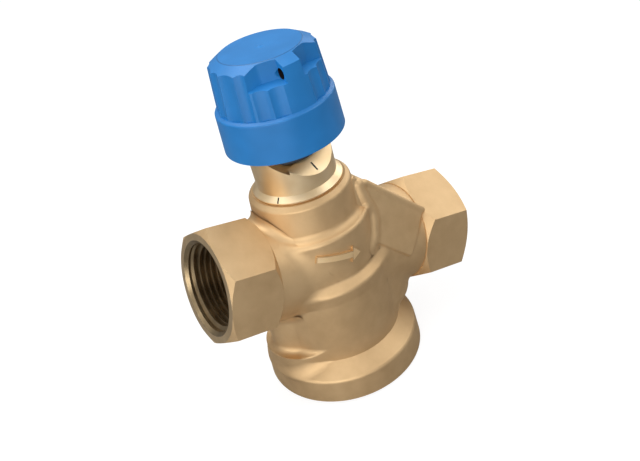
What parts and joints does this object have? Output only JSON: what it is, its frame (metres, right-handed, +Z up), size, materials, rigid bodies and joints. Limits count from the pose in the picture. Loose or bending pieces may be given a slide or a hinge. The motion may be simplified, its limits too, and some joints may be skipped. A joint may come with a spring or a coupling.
{
  "type": "pressure independent control valve",
  "caption": "Brass pressure independent control valve with inclined stem, hexagonal threaded pipe ends, flow-setting dial and blue protective cap.",
  "frame": {"origin": "centre of the underside of the round base, on the stem's axis", "axes": "+Z up along the stem's axis; the pipe lies in the XZ plane, its outlet towards +X and 16 degrees below level; -Y is the side with the test plug boss"},
  "size_m": [0.1173, 0.0652, 0.1376],
  "materials": {
    "forged_brass": "grit-blasted hot-stamped dezincification-resistant brass",
    "turned_brass": "turned dezincification-resistant brass",
    "stainless_steel": "turned stainless steel",
    "spring_steel": "drawn stainless spring wire",
    "rubber_seal": "moulded EPDM rubber",
    "blue_plastic": "fine satin moulded ABS",
    "white_plastic": "satin moulded acetal",
    "engineering_plastic": "moulded glass-filled PPS"
  },
  "bodies": {
    "valve_body": {"valve_body": "forged_brass", "bottom_cover": "turned_brass", "cover_o_ring": "rubber_seal", "guide_bush": "white_plastic", "membrane_clamp_ring": "turned_brass", "seat_ring": "turned_brass", "controller_seat": "rubber_seal", "bonnet": "turned_brass", "bonnet_o_ring": "rubber_seal", "gland_nut": "turned_brass", "spindle_o_ring": "rubber_seal"},
    "controller": {"controller_cone": "turned_brass", "membrane_plate": "stainless_steel", "membrane_nut": "stainless_steel", "membrane": "rubber_seal", "controller_spring": "spring_steel"},
    "spindle": {"spindle": "stainless_steel", "control_plug": "turned_brass", "plug_seal": "rubber_seal", "spring_collar": "turned_brass", "retaining_clip": "spring_steel", "return_spring": "spring_steel"},
    "cap": {"protective_cap": "blue_plastic", "thrust_insert": "stainless_steel"},
    "flow_setting": {"flow_setting_drum": "engineering_plastic", "setting_dial": "engineering_plastic", "drum_o_ring": "rubber_seal"}
  },
  "joints": [
    {"name": "spindle_travel", "type": "slide", "parent": "valve_body", "child": "spindle", "axis": [0, 0, 1], "range_m": [-0.0045, 0], "deforming": ["return_spring"]},
    {"name": "cap_turn", "type": "hinge", "parent": "spindle", "child": "cap", "pos_m": [0, 0, 0.12], "axis": [0, 0, 1], "range_deg": [-1080, 0]},
    {"name": "flow_setting_turn", "type": "hinge", "parent": "valve_body", "child": "flow_setting", "pos_m": [0, 0, 0.08], "axis": [0, 0, 1], "range_deg": [-270, 0]},
    {"name": "controller_travel", "type": "slide", "parent": "valve_body", "child": "controller", "axis": [0, 0, 1], "range_m": [0, 0.002], "stiffness_N_per_m": 5000, "springref_m": -0.004, "deforming": ["controller_spring", "membrane"]}
  ],
  "couplings": [
    {"joint": "cap_turn", "follows": "spindle_travel", "rad_per_m": 4188.8}
  ]
}
